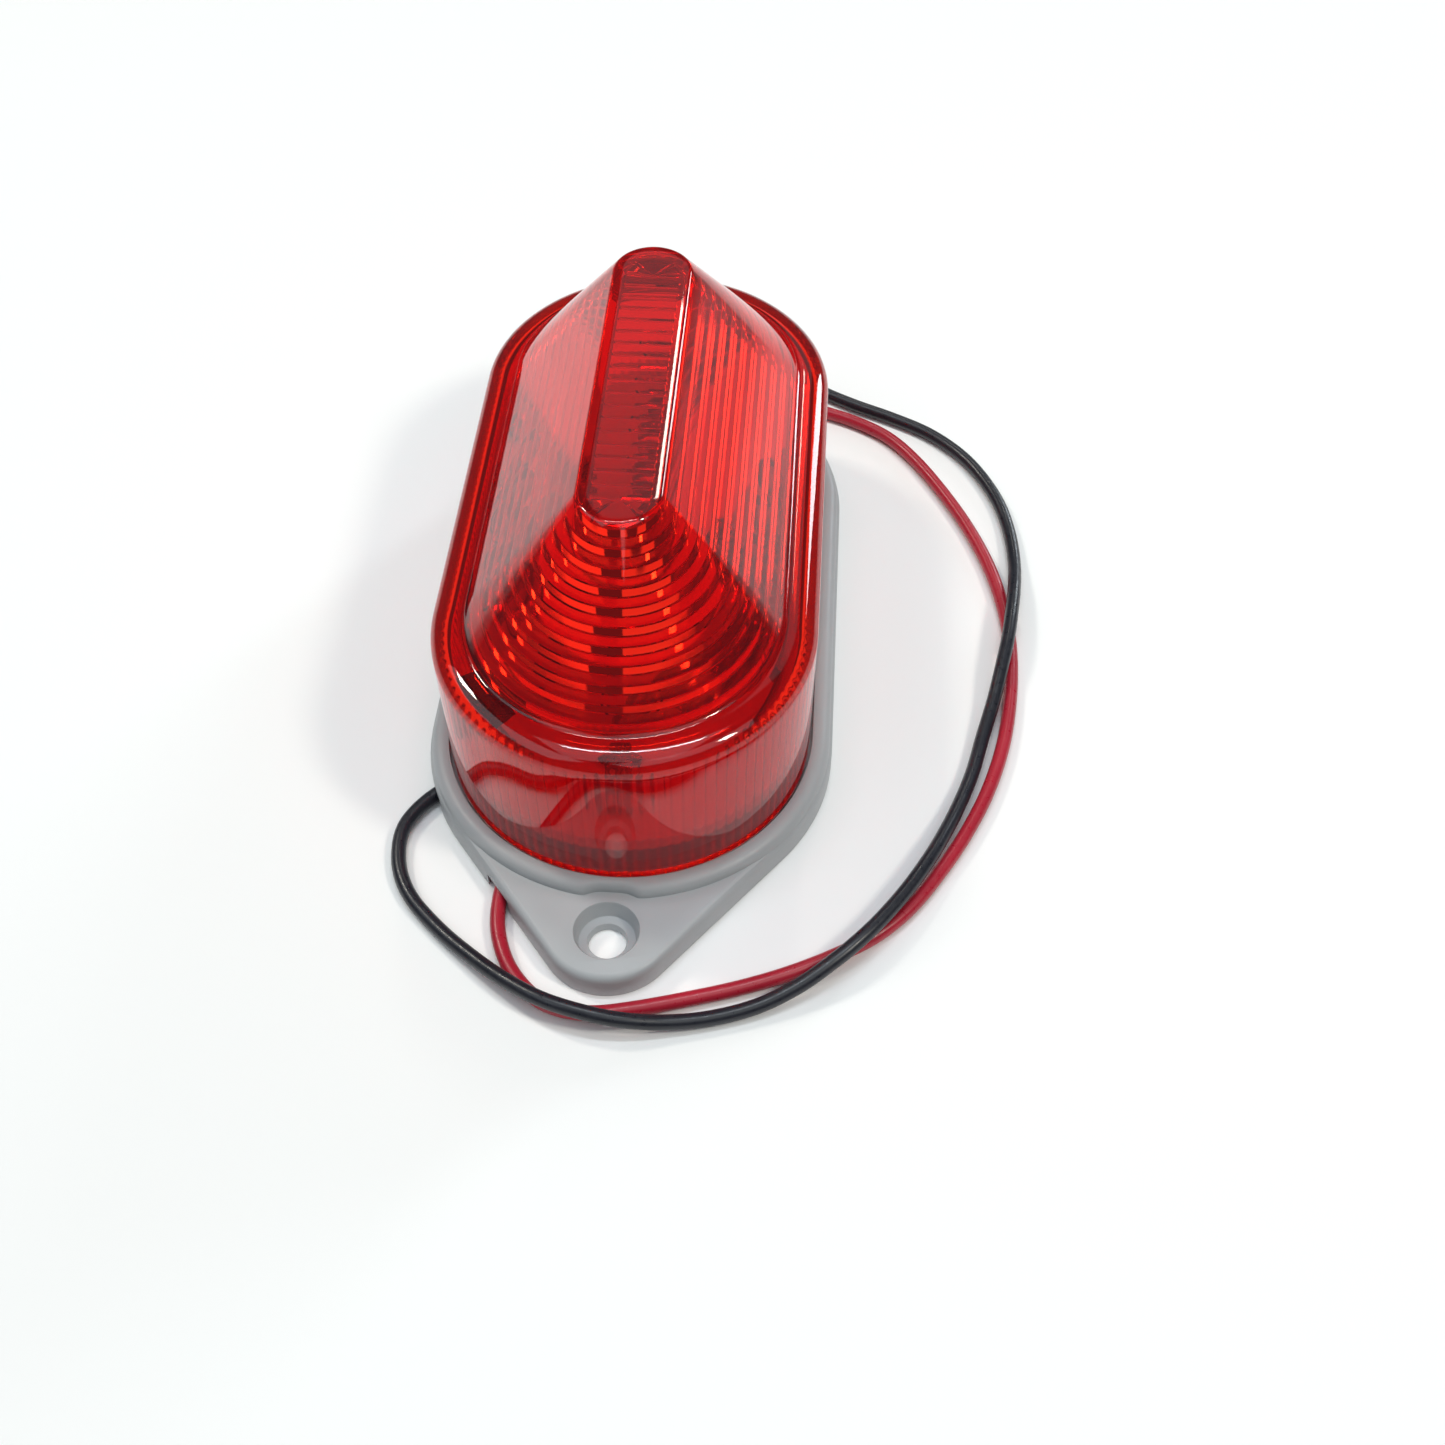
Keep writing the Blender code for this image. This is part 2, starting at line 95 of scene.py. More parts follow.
# Name, azimuth, elevation, distance and size in metres, radiance, colour.
STUDIO = [
    ("top_softbox", 0, 80, 0.80, (0.60, 0.60), 1.0, COOL),
    ("top_tube", 180, 85, 0.80, (0.42, 0.05), 25.0, COOL),
    ("left_softbox", -74, 51, 0.70, (0.90, 0.28), 1.3, COOL),
    ("right_softbox", 42, 51, 0.70, (0.75, 0.28), 1.0, COOL),
    ("back_softbox", 175, 44, 0.80, (0.35, 0.35), 0.4, COOL),
    ("left_lamp", -119, 49, 0.72, (0.07, 0.10), 55.0, WARM),
    ("right_lamp", 67, 49, 0.68, (0.07, 0.10), 55.0, WARM),
    ("back_lamp", 176.5, 42.5, 0.78, (0.04, 0.13), 20.0, WARM),
    ("back_strip", 143, 20, 0.70, (0.09, 0.25), 14.0, COOL),
]


def make_light():
    """Softboxes overhead and round the object, lamps for the glints, a tube and a strip for the highlights."""
    world = bpy.data.worlds.new("studio")
    world.use_nodes = True
    background = world.node_tree.nodes["Background"]
    background.inputs["Color"].default_value = (0.93, 0.96, 1.0, 1.0)
    background.inputs["Strength"].default_value = 0.10
    bpy.context.scene.world = world
    bpy.context.scene.view_settings.view_transform = "Standard"
    for light in STUDIO:
        area_light(*light)


WHITE_REACH, GREY_REACH = 0.20, 0.30


def make_floor():
    """A large sheet under the object, white round it and grey further out."""
    mesh = bpy.data.meshes.new("floor")
    bm = bmesh.new()
    bmesh.ops.create_grid(bm, x_segments=1, y_segments=1, size=1.5)
    bm.to_mesh(mesh)
    bm.free()
    floor = bpy.data.objects.new("floor", mesh)
    bpy.context.scene.collection.objects.link(floor)
    floor.location = (0.01, 0.02, -0.0001)
    made, tree, shader, coords = new_material("floor_paper")
    distance = tree.nodes.new("ShaderNodeVectorMath")
    distance.operation = "LENGTH"
    tree.links.new(coords, distance.inputs[0])
    far = remap(tree, distance.outputs["Value"], 0.0, 1.0, from_low=WHITE_REACH, from_high=GREY_REACH)
    tones = [(0.0, (0.93,) * 3), (1.0, (0.35,) * 3)]
    tree.links.new(ramp(tree, far, tones), shader.inputs["Base Color"])
    shader.inputs["Roughness"].default_value = 0.9
    mesh.materials.append(made)


# ---------------------------------------------------------------- materials

def new_material(name):
    """A material with its node tree, Principled shader and object coordinates."""
    made = bpy.data.materials.new(name)
    made.use_nodes = True
    tree = made.node_tree
    shader = tree.nodes["Principled BSDF"]
    coords = tree.nodes.new("ShaderNodeTexCoord").outputs["Object"]
    return made, tree, shader, coords


def xyz(tree, coords):
    split = tree.nodes.new("ShaderNodeSeparateXYZ")
    tree.links.new(coords, split.inputs["Vector"])
    return split.outputs


def noise(tree, coords, scale, detail=3.0):
    node = tree.nodes.new("ShaderNodeTexNoise")
    node.inputs["Scale"].default_value = scale
    node.inputs["Detail"].default_value = detail
    tree.links.new(coords, node.inputs["Vector"])
    return node.outputs["Fac"]


def ramp(tree, value, stops, constant=False):
    """A colour ramp through (position, colour) stops."""
    node = tree.nodes.new("ShaderNodeValToRGB")
    if constant:
        node.color_ramp.interpolation = "CONSTANT"
    elements = node.color_ramp.elements
    while len(elements) < len(stops):
        elements.new(0.5)
    for element, (position, colour) in zip(elements, stops):
        element.position = position
        element.color = (*colour, 1.0)
    tree.links.new(value, node.inputs["Fac"])
    return node.outputs["Color"]


def remap(tree, value, low, high, from_low=0.3, from_high=0.7):
    """Maps a value to low..high, by default from the range that most noise falls in."""
    node = tree.nodes.new("ShaderNodeMapRange")
    limits = {"From Min": from_low, "From Max": from_high, "To Min": low, "To Max": high}
    for socket, number in limits.items():
        node.inputs[socket].default_value = number
    tree.links.new(value, node.inputs["Value"])
    return node.outputs["Result"]


def bump(tree, shader, height, depth, strength=1.0):
    node = tree.nodes.new("ShaderNodeBump")
    node.inputs["Strength"].default_value = strength
    node.inputs["Distance"].default_value = depth
    tree.links.new(height, node.inputs["Height"])
    tree.links.new(node.outputs["Normal"], shader.inputs["Normal"])


def shade(colour, factor):
    return tuple(min(1.0, channel * factor) for channel in colour)


def grained(name, colour, roughness, metallic=0.0, grain=2500, contrast=0.1, depth=0.01 * MM):
    """Moulded or cast surface: fine grain, faint mottling and uneven gloss."""
    made, tree, shader, coords = new_material(name)
    broad = noise(tree, coords, grain / 20)
    fine = noise(tree, coords, grain)
    tones = [(0.3, shade(colour, 1 - contrast)), (0.7, shade(colour, 1 + contrast))]
    tree.links.new(ramp(tree, broad, tones), shader.inputs["Base Color"])
    glossiest, spread = 0.02, 0.08
    uneven = remap(tree, fine, max(glossiest, roughness - spread), min(1.0, roughness + spread))
    tree.links.new(uneven, shader.inputs["Roughness"])
    shader.inputs["Metallic"].default_value = metallic
    bump(tree, shader, fine, depth)
    return made


def math_node(tree, operation, first, second=0.0):
    """One sum on two values, each a float or a socket."""
    node = tree.nodes.new("ShaderNodeMath")
    node.operation = operation
    for socket, value in zip(node.inputs, (first, second)):
        if isinstance(value, float):
            socket.default_value = value
        else:
            tree.links.new(value, socket)
    return node.outputs["Value"]


# ---------------------------------------------------------------- mesh making

MERGE_DISTANCE = 0.001 * MM
SHARP_ANGLE = 0.7


def centre_of(node):
    low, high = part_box(node)
    return (low + high) / 2


def scaled(profile, foot=0.0):
    """A profile in millimetres as radius and height in metres, standing on foot."""
    return [(radius * MM, foot + height * MM) for radius, height in profile]


def add_mesh(name, mesh, body, material_made):
    """A new piece that rides on a body and is painted with one material."""
    piece = bpy.data.objects.new(name, mesh)
    bpy.context.scene.collection.objects.link(piece)
    mesh.materials.append(material_made)
    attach(piece, body)
    return piece


def mesh_through(name, rings, closed=False, end_cap=True):
    """A closed surface through rings of points, capped at its ends unless it closes on itself.

    With no end cap, the last ring is a fold: its two sides lie on each other and are merged.
    """
    bm = bmesh.new()
    loops = [[bm.verts.new(point) for point in ring] for ring in rings]
    pairs = list(zip(loops, loops[1:]))
    if closed:
        pairs.append((loops[-1], loops[0]))
    else:
        bm.faces.new(loops[0])
        if end_cap:
            bm.faces.new(loops[-1])
    for upper, lower in pairs:
        for i in range(len(upper)):
            bm.faces.new((upper[i - 1], lower[i - 1], lower[i], upper[i]))
    bmesh.ops.remove_doubles(bm, verts=bm.verts, dist=MERGE_DISTANCE)
    bmesh.ops.recalc_face_normals(bm, faces=bm.faces)
    mesh = bpy.data.meshes.new(name)
    bm.to_mesh(mesh)
    bm.free()
    mesh.shade_smooth()
    mesh.set_sharp_from_angle(angle=SHARP_ANGLE)
    return mesh


def around(arc_steps, side_steps):
    """Stations round a stadium: outward x and y, and the centre's place along the straight run."""
    stations = []
    for end in (1, -1):
        for i in range(arc_steps):
            angle = pi * i / arc_steps
            stations.append((end * cos(angle), end * sin(angle), float(end)))
        for i in range(side_steps):
            stations.append((-float(end), 0.0, end * (1.0 - 2.0 * i / side_steps)))
    return stations


def turned_mesh(name, profile, centre, steps=48, closed=False):
    """A solid of revolution about a vertical line, from radius and height pairs; a ring if closed."""
    angles = [2 * pi * i / steps for i in range(steps)]
    rings = []
    for radius, height in profile:
        rings.append([(centre[0] + radius * cos(a), centre[1] + radius * sin(a), height) for a in angles])
    return mesh_through(name, rings, closed=closed)


def bar_mesh(name, start, end, width, bottom, top):
    """A square bar along a level line."""
    along = (end - start).normalized()
    aside = Vector((-along.y, along.x)) * width / 2
    corners = (start + aside, start - aside, end - aside, end + aside)
    return mesh_through(name, [[(c.x, c.y, z) for c in corners] for z in (bottom, top)])


def merged(name, meshes):
    """One mesh from several separate closed ones."""
    bm = bmesh.new()
    for mesh in meshes:
        bm.from_mesh(mesh)
    joined = bpy.data.meshes.new(name)
    bm.to_mesh(joined)
    bm.free()
    joined.shade_smooth()
    joined.set_sharp_from_angle(angle=SHARP_ANGLE)
    return joined


def combine(target, operation, mesh):
    """Joins or cuts target with a mesh, for good."""
    tool = bpy.data.objects.new("tool", mesh)
    bpy.context.scene.collection.objects.link(tool)
    modifier = target.modifiers.new("step", "BOOLEAN")
    modifier.operation = operation
    modifier.solver = "EXACT"
    modifier.object = tool
    depsgraph = bpy.context.evaluated_depsgraph_get()
    result = bpy.data.meshes.new_from_object(target.evaluated_get(depsgraph))
    target.modifiers.clear()
    target.data = result
    bpy.data.objects.remove(tool)


def soften(piece, width):
    """Rounds the piece's sharp edges, for good."""
    bevel = piece.modifiers.new("edges", "BEVEL")
    bevel.width = width
    bevel.segments = 2
    bevel.limit_method = "ANGLE"
    depsgraph = bpy.context.evaluated_depsgraph_get()
    result = bpy.data.meshes.new_from_object(piece.evaluated_get(depsgraph))
    piece.modifiers.clear()
    piece.data = result


# ---------------------------------------------------------------- the cover

COVER_WALL = 1.6 * MM
# The shoulder, in millimetres: its drop from the ridge, its half width, and the round edge outside it.
SHOULDER_DROP, SHOULDER_WIDTH = 15.5, 17.1
EDGE_WIDTH, EDGE_DROP, EDGE_STEPS = 2.9, 2.0, 9
# Flutes inside the skirt: how many round each arc and along each side, and the points to draw one.
FLUTE_ARC = 50
FLUTE_SIDE = 36
FLUTE_POINTS = 4
FLUTE_DEPTH = 0.24 * MM
# Grooves with 45 degree walls round the inside of the slope, with a small flat on each crest and root.
RING_COUNT = 11
RING_FLAT = 0.045
# Ribs across the inside of the ridge.
RIDGE_STRAIGHT = 17.6 * MM
RIDGE_RIB_PITCH = RIDGE_STRAIGHT / 9
RIDGE_RIB_DEPTH = 0.3 * MM
RIDGE_RIB_HALF = 0.26 * MM
# Where the wall's inside begins, how high its frosting goes and how rough it is.
INSIDE_REACH = 19.2 * MM
FROST_TOP = 19.9 * MM
FROST_ROUGHNESS = 0.2
# Painted glow, on a cover that is no lamp: red emission all over, and more on the flutes towards the foot.
PAINTED_GLOW_ALL_OVER = 0.018
PAINTED_GLOW_ON_FLUTES = 0.11
PAINTED_GLOW_FULL_BELOW, PAINTED_GLOW_GONE_ABOVE = 4.0 * MM, 15.0 * MM


def stadium_reach(tree, coords):
    """Distance from the body's straight middle line, and height, at each point."""
    x, y, z = xyz(tree, coords)
    along = math_node(tree, "ABSOLUTE", y)
    past = math_node(tree, "MAXIMUM", math_node(tree, "SUBTRACT", along, STRAIGHT))
    x_square = math_node(tree, "MULTIPLY", x, x)
    past_square = math_node(tree, "MULTIPLY", past, past)
    return math_node(tree, "SQRT", math_node(tree, "ADD", x_square, past_square)), z


def flute_stripes(tree, coords):
    """1 on the crest of each flute and 0 between two, round the arcs and along the straight sides."""
    x, y, _ = xyz(tree, coords)
    along = math_node(tree, "ABSOLUTE", y)
    past = math_node(tree, "MAXIMUM", math_node(tree, "SUBTRACT", along, STRAIGHT))
    angle = math_node(tree, "ARCTAN2", past, x)
    round_arc = math_node(tree, "MULTIPLY", angle, 2.0 * FLUTE_ARC)
    beside = math_node(tree, "MINIMUM", along, STRAIGHT)
    on_side = math_node(tree, "MULTIPLY", beside, FLUTE_SIDE * pi / STRAIGHT)
    wave = math_node(tree, "COSINE", math_node(tree, "ADD", round_arc, on_side))
    half = math_node(tree, "MULTIPLY", math_node(tree, "ADD", wave, 1.0), 0.5)
    return math_node(tree, "MULTIPLY", half, half)


def cover_material():
    """Clear red polycarbonate: polished outside and on the ribs, lightly frosted inside the skirt.

    It also carries a painted glow: a faint red emission all over, and more on the flutes towards the foot.
    """
    made, tree, shader, coords = new_material("cover_clear_red")
    tones = [(0.3, (0.78, 0.012, 0.003)), (0.7, (0.84, 0.018, 0.004))]
    tree.links.new(ramp(tree, noise(tree, coords, 90), tones), shader.inputs["Base Color"])
    reach, height = stadium_reach(tree, coords)
    inside = math_node(tree, "LESS_THAN", reach, INSIDE_REACH)
    below = math_node(tree, "LESS_THAN", height, FROST_TOP)
    frosted = math_node(tree, "MULTIPLY", inside, below)
    gloss = remap(tree, noise(tree, coords, 700), 0.015, 0.045)
    roughness = math_node(tree, "ADD", gloss, math_node(tree, "MULTIPLY", frosted, FROST_ROUGHNESS))
    tree.links.new(roughness, shader.inputs["Roughness"])
    shader.inputs["Transmission Weight"].default_value = 1.0
    shader.inputs["IOR"].default_value = 1.5
    # Painted glow: red emission, faint all over and stronger on the flutes near the foot.
    shader.inputs["Emission Color"].default_value = (1.0, 0.02, 0.08, 1.0)
    towards_foot = remap(tree, height, 1.0, 0.0, from_low=PAINTED_GLOW_FULL_BELOW, from_high=PAINTED_GLOW_GONE_ABOVE)
    striped = math_node(tree, "MULTIPLY", towards_foot, flute_stripes(tree, coords))
    painted_flute_glow = math_node(tree, "MULTIPLY", math_node(tree, "MULTIPLY", inside, striped), PAINTED_GLOW_ON_FLUTES)
    tree.links.new(math_node(tree, "ADD", painted_flute_glow, PAINTED_GLOW_ALL_OVER), shader.inputs["Emission Strength"])
    return made


def cover_ring(width, height, straight=STRAIGHT, flute=0.0, rib=0.0):
    """A stadium ring; flute is the depth of the flutes round it and rib that of the ribs across it."""
    points = []
    for i, (x, y, centre) in enumerate(around(FLUTE_ARC * FLUTE_POINTS, FLUTE_SIDE * FLUTE_POINTS)):
        phase = (i % FLUTE_POINTS) / FLUTE_POINTS
        reach = width - flute * (1.0 - cos(2 * pi * phase)) / 2
        place_y = centre * straight + reach * y
        aside = abs(place_y - round(place_y / RIDGE_RIB_PITCH) * RIDGE_RIB_PITCH)
        dip = rib * max(0.0, 1.0 - aside / RIDGE_RIB_HALF)
        points.append((reach * x, place_y, height - dip))
    return points


def outer_rings(foot, top):
    """From the ridge's middle down the slope, over the shoulder and down the skirt to the foot."""
    ridge = [(3.0, 0.0), (3.85, 0.0), (4.08, 0.05), (4.28, 0.2), (4.5, 0.46)]
    rings = [cover_ring(w * MM, top - drop * MM, RIDGE_STRAIGHT) for w, drop in ridge]
    foot_of_slope = [(16.1, 15.0), (16.3, 15.25), (16.5, 15.42), (16.75, 15.5), (17.1, 15.5)]
    rings += [cover_ring(w * MM, top - drop * MM) for w, drop in foot_of_slope]
    for i in range(1, EDGE_STEPS + 1):
        turn = pi / 2 * i / EDGE_STEPS
        width = SHOULDER_WIDTH + EDGE_WIDTH * sin(turn)
        drop = SHOULDER_DROP + EDGE_DROP * (1.0 - cos(turn))
        rings.append(cover_ring(width * MM, top - drop * MM))
    skirt = [(19.99, 18.2), (19.93, 23.0), (19.86, 29.0)]
    rings += [cover_ring(w * MM, top - drop * MM) for w, drop in skirt]
    return rings + [cover_ring(19.8 * MM, foot)]


def inner_rings(foot, top):
    """From the foot up the fluted skirt and the grooved slope to the ribbed inside of the ridge."""
    shoulder = top - SHOULDER_DROP * MM
    rings = [cover_ring(18.4 * MM, foot)]
    rings.append(cover_ring(18.35 * MM, foot + 0.3 * MM, flute=FLUTE_DEPTH))
    rings.append(cover_ring(18.5 * MM, shoulder - 3.3 * MM, flute=FLUTE_DEPTH))
    rings.append(cover_ring(18.35 * MM, shoulder - 2.7 * MM))
    rings.append(cover_ring(18.0 * MM, shoulder - 2.0 * MM))
    rings.append(cover_ring(17.4 * MM, shoulder - COVER_WALL))
    start = Vector((15.9 * MM, shoulder - COVER_WALL, STRAIGHT))
    end = Vector((3.4 * MM, top - COVER_WALL, RIDGE_STRAIGHT))
    inward = Vector((-(end.y - start.y), end.x - start.x)).normalized()
    ring_depth = (end - start).length / RING_COUNT * (0.5 - 2 * RING_FLAT)
    groove = (
        (RING_FLAT, 0.0), (0.5 - RING_FLAT, ring_depth), (0.5 + RING_FLAT, ring_depth), (1.0 - RING_FLAT, 0.0),
    )
    for i in range(RING_COUNT):
        for share, depth in groove:
            spot = start.lerp(end, (i + share) / RING_COUNT)
            rings.append(cover_ring(spot.x + inward.x * depth, spot.y + inward.y * depth, spot.z))
    rings.append(cover_ring(3.0 * MM, end.y, RIDGE_STRAIGHT))
    for width in (2.9, 1.5, 0.0):
        rings.append(cover_ring(width * MM, end.y, RIDGE_STRAIGHT, rib=RIDGE_RIB_DEPTH))
    return rings


def make_cover():
    """One closed surface: down the outside from the ridge, round the foot and up the inside."""
    low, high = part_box("lens_cover")
    rings = outer_rings(low.z, high.z) + inner_rings(low.z, high.z)
    mesh = mesh_through("cover", rings, end_cap=False)
    cover = add_mesh("cover", mesh, "cover", cover_material())
    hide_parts("lens_cover")


def sector_block(name, angles, reaches, heights, steps=8):
    """A block between two angles from the near end towards the left, round the near arc's centre."""
    rings = []
    for height in heights:
        spots = []
        for reach, order in ((reaches[0], 1), (reaches[1], -1)):
            for i in range(steps + 1)[::order]:
                turn = radians(angles[0] + (angles[1] - angles[0]) * i / steps)
                spots.append((-reach * sin(turn), -STRAIGHT - reach * cos(turn), height))
        rings.append(spots)
    return mesh_through(name, rings)


def make_lug():
    """The moulded stop under the cover's near left shoulder: a block with a short rib under its left end, in
    near-black painted shade.
    """
    block = sector_block("cover_lug", (40.0, 60.0), (15.3 * MM, 18.1 * MM), (19.0 * MM, 21.25 * MM))
    # Painted shade: the stop's shape is real, but its near-black colour stands in for the shade there, not its
    # own clear red.
    painted_shade_red = grained("lug_painted_shade", (0.012, 0.002, 0.003), 0.3)
    lug = add_mesh("cover_lug", block, "cover", painted_shade_red)
    rib = sector_block("rib", (56.4, 60.0), (15.3 * MM, 18.1 * MM), (14.0 * MM, 19.6 * MM))
    combine(lug, "UNION", rib)
    soften(lug, 0.15 * MM)


# ---------------------------------------------------------------- the base

EAR_OFFSET = 43.4 * MM
EAR_RADIUS = 7.2 * MM
BASE_WIDTH = 22.4 * MM
SCREW_OFFSET = 44.8 * MM
WAVE_HALF_SPAN = 3.1 * MM
POST_TOP = 5.7
POST_OFFSET, SIDE_POST_OFFSET = 29.0 * MM, 12.0 * MM
RECESS_TOP = 1.95 * MM
OUTLET_RADIUS = 2.6 * MM
CHANNEL_WIDTH, CHANNEL_SPARE = 3.2 * MM, 4.0 * MM
BASE_SHARP_ANGLE = 0.6


def arc(centre_y, radius, start, end, steps):
    angles = [start + (end - start) * i / steps for i in range(steps + 1)]
    return [(radius * cos(a), centre_y + radius * sin(a)) for a in angles]


def eared_outline(inset):
    """The base's outline, moved in by inset all the way round."""
    tangent = asin((BASE_WIDTH - EAR_RADIUS) / (EAR_OFFSET - STRAIGHT))
    half = arc(STRAIGHT, BASE_WIDTH - inset, 0.0, tangent, 16)
    half += arc(EAR_OFFSET, EAR_RADIUS - inset, tangent, pi - tangent, 40)
    half += arc(STRAIGHT, BASE_WIDTH - inset, pi - tangent, pi, 16)
    return half + [(-x, -y) for x, y in half]


def rim_ring(width, height, wave=0.0, arc_steps=120):
    """A stadium ring, drawn in by wave beside each screw seat."""
    points = []
    for x, y, centre in around(arc_steps, 1):
        reach = width
        aside = abs(x) * width / WAVE_HALF_SPAN
        if abs(y) > 0.5 and aside < 1.0:
            reach -= wave * (1.0 - aside ** 4) ** 2
        points.append((reach * x, centre * STRAIGHT + reach * y, height))
    return points


def stadium_block(name, width, bottom, top):
    return mesh_through(name, [rim_ring(width, bottom), rim_ring(width, top)])


def base_material():
    """Light grey moulded plastic: a fine satin texture and faint flow marks."""
    made, tree, shader, coords = new_material("base_satin_grey")
    broad = noise(tree, coords, 60)
    fine = noise(tree, coords, 2600, detail=5.0)
    tones = [(0.3, (0.38, 0.395, 0.41)), (0.7, (0.42, 0.435, 0.45))]
    tree.links.new(ramp(tree, broad, tones), shader.inputs["Base Color"])
    tree.links.new(remap(tree, fine, 0.36, 0.5), shader.inputs["Roughness"])
    bump(tree, shader, fine, 0.012 * MM, strength=0.7)
    return made


def make_base():
    """The eared plate with rounded edges, the waved rim, and all that is cut or stands in the floor."""
    plate = [(0.0, 0.0), (0.0, 2.15), (0.1, 2.6), (0.35, 2.93), (0.75, 3.1)]
    rings = [[(x, y, z * MM) for x, y in eared_outline(inset * MM)] for inset, z in plate]
    body = bpy.data.objects.new("base", mesh_through("base", rings))
    bpy.context.scene.collection.objects.link(body)
    rim = [
        (19.6, 2.4, 0.0), (19.6, 4.0, 0.0), (20.2, 4.22, 0.0), (20.7, 4.3, 0.2), (21.2, 4.26, 0.45),
        (21.6, 4.08, 0.6), (21.9, 3.75, 0.7), (22.05, 3.35, 0.75), (22.1, 3.0, 0.8), (22.1, 2.4, 0.8),
    ]
    rim_rings = [rim_ring(width * MM, height * MM, wave * MM) for width, height, wave in rim]
    combine(body, "UNION", mesh_through("rim", rim_rings, closed=True))
    combine(body, "DIFFERENCE", stadium_block("pocket", 20.15 * MM, 2.7 * MM, 9.0 * MM))
    combine(body, "DIFFERENCE", stadium_block("recess", 20.3 * MM, -3.0 * MM, RECESS_TOP))
    outlet = [(OUTLET_RADIUS, 9.0 * MM), (OUTLET_RADIUS, -3.0 * MM)]
    combine(body, "DIFFERENCE", turned_mesh("outlet", outlet, OUTLET))
    seat = [
        (3.9, 4.0), (3.45, 3.12), (3.25, 2.85), (3.1, 1.3), (2.95, 1.12), (2.1, 1.05), (2.0, 0.9), (2.0, -3.0),
    ]
    post = [(1.1, 3.0), (1.1, POST_TOP), (2.8, POST_TOP), (2.8, 2.3)]
    side_post = [(1.6, POST_TOP), (1.6, 2.3)]
    for end in (1, -1):
        combine(body, "DIFFERENCE", turned_mesh("seat", scaled(seat), (0.0, end * SCREW_OFFSET)))
        combine(body, "UNION", turned_mesh("post", scaled(post), (0.0, end * POST_OFFSET)))
        combine(body, "UNION", turned_mesh("side_post", scaled(side_post), (end * SIDE_POST_OFFSET, 0.0)))
    for route in (BLACK_ROUTE, RED_ROUTE):
        start, end = (Vector(point[:2]) * MM for point in route[2:4])
        spare = (end - start).normalized() * CHANNEL_SPARE
        channel = bar_mesh("channel", start - spare, end + spare, CHANNEL_WIDTH, -2.0 * MM, RECESS_TOP)
        combine(body, "DIFFERENCE", channel)
    body.data.shade_smooth()
    body.data.set_sharp_from_angle(angle=BASE_SHARP_ANGLE)
    body.data.materials.clear()
    body.data.materials.append(base_material())
    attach(body, "base")
    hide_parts("base_housing")


# ---------------------------------------------------------------- the leads

LEAD_RADIUS = 0.8 * MM
LEAD_TINTS = {"black": (0.012, 0.013, 0.02), "red": (0.4, 0.012, 0.03)}
# Height of a lead's middle line when it lies on the floor, in millimetres as in the routes below.
LIE = 0.85
OUTLET = (-6.0 * MM, -15.0 * MM, LIE * MM)
BLACK_ROUTE = [
    (-8.9, -17.2, LIE), (-13.0, -20.6, LIE), (-17.5, -24.5, LIE), (-21.4, -28.0, LIE),
    (-23.5, -32.0, LIE), (-23.2, -36.6, LIE), (-21.2, -40.7, LIE), (-17.4, -44.6, 0.9),
    (-13.4, -47.9, 1.4), (-9.8, -50.6, 2.2), (-5.8, -52.9, 2.85), (-1.6, -54.1, 2.85),
    (2.4, -54.4, 2.2), (6.6, -53.9, 1.3), (11.2, -52.9, 0.9), (15.8, -51.3, 1.05),
    (19.8, -49.1, 1.7), (23.2, -46.5, 2.5), (25.9, -43.9, 2.9), (28.4, -40.8, 2.85),
    (31.0, -36.9, 2.7), (33.6, -32.1, 2.3), (36.0, -26.4, 1.4), (38.0, -20.7, 0.95),
    (39.4, -15.2, 1.05), (40.7, -10.4, 1.7), (41.7, -5.9, 2.5), (42.5, -2.0, 2.85),
    (43.1, 2.0, 2.85), (43.7, 6.8, 2.3), (44.1, 12.2, 1.2), (43.8, 17.6, LIE),
    (42.7, 22.8, LIE), (40.6, 27.8, LIE), (37.8, 32.0, LIE), (33.8, 35.7, LIE),
    (29.0, 38.4, LIE), (24.0, 40.7, LIE), (19.2, 43.4, LIE), (14.8, 47.0, LIE),
    (10.4, 50.8, LIE), (5.4, 54.0, LIE),
]
RED_ROUTE = [
    (-6.7, -18.6, LIE), (-8.2, -24.5, LIE), (-10.4, -31.5, LIE), (-11.7, -38.0, LIE),
    (-11.6, -43.4, LIE), (-9.9, -48.0, LIE), (-7.1, -51.3, LIE), (-4.2, -52.8, LIE),
    (-0.6, -53.1, LIE), (3.6, -52.3, LIE), (9.0, -50.8, LIE), (14.0, -49.2, LIE),
    (18.9, -47.2, LIE), (23.5, -44.8, LIE), (27.6, -42.1, LIE), (31.2, -38.4, LIE),
    (34.6, -33.3, LIE), (37.5, -28.0, LIE), (39.9, -22.3, LIE), (41.7, -16.0, LIE),
    (42.7, -9.6, LIE), (43.1, -3.5, LIE), (42.9, 1.6, LIE), (42.1, 7.2, LIE),
    (40.6, 13.0, LIE), (38.3, 19.0, LIE), (35.3, 25.0, LIE), (32.0, 30.4, LIE),
    (28.4, 34.6, LIE), (23.8, 37.5, LIE), (18.8, 39.6, LIE), (14.4, 42.6, LIE),
    (10.6, 46.6, LIE), (6.6, 50.4, LIE),
]


def smooth_route(points, steps=6):
    """Points in metres along a Catmull-Rom curve through a route in millimetres."""
    nodes = [Vector(p) * MM for p in points]
    nodes = [2 * nodes[0] - nodes[1]] + nodes + [2 * nodes[-1] - nodes[-2]]
    fine = []
    for a, b, c, d in zip(nodes, nodes[1:], nodes[2:], nodes[3:]):
        for step in range(steps):
            t = step / steps
            square = (2 * a - 5 * b + 4 * c - d) * t ** 2
            cube = (3 * b - 3 * c + d - a) * t ** 3
            fine.append((2 * b + (c - a) * t + square + cube) / 2)
    fine.append(nodes[-2])
    return fine


